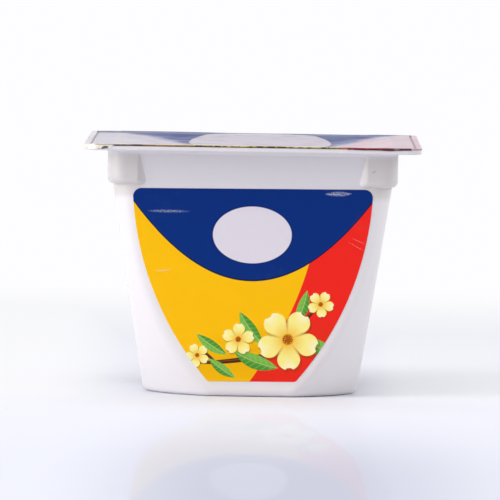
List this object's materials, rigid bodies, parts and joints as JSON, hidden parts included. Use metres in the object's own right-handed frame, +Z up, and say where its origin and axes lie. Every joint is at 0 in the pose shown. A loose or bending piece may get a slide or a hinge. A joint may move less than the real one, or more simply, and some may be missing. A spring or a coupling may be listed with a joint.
{
  "type": "cottage cheese dessert cup",
  "caption": "Shut plastic dessert cup with a square flanged mouth, rounded foot, corner stacking lugs, sealed printed foil lid and front label; for shelf, fridge and table scenes.",
  "frame": {"origin": "centre of the foot, in the plane it stands on", "axes": "+Z up through the lid; the labelled front faces -Y; +X is to the right of someone facing the label"},
  "size_m": [0.08, 0.08, 0.0604],
  "materials": {
    "tub_plastic": "white thermoformed polystyrene, half gloss",
    "printed_foil": "lacquered foil laminate printed in blue, yellow and red fields round a plain white oval",
    "printed_label": null
  },
  "bodies": {
    "root": {"tub": "tub_plastic", "lid_foil": "printed_foil", "front_label": "printed_label"}
  },
  "joints": []
}
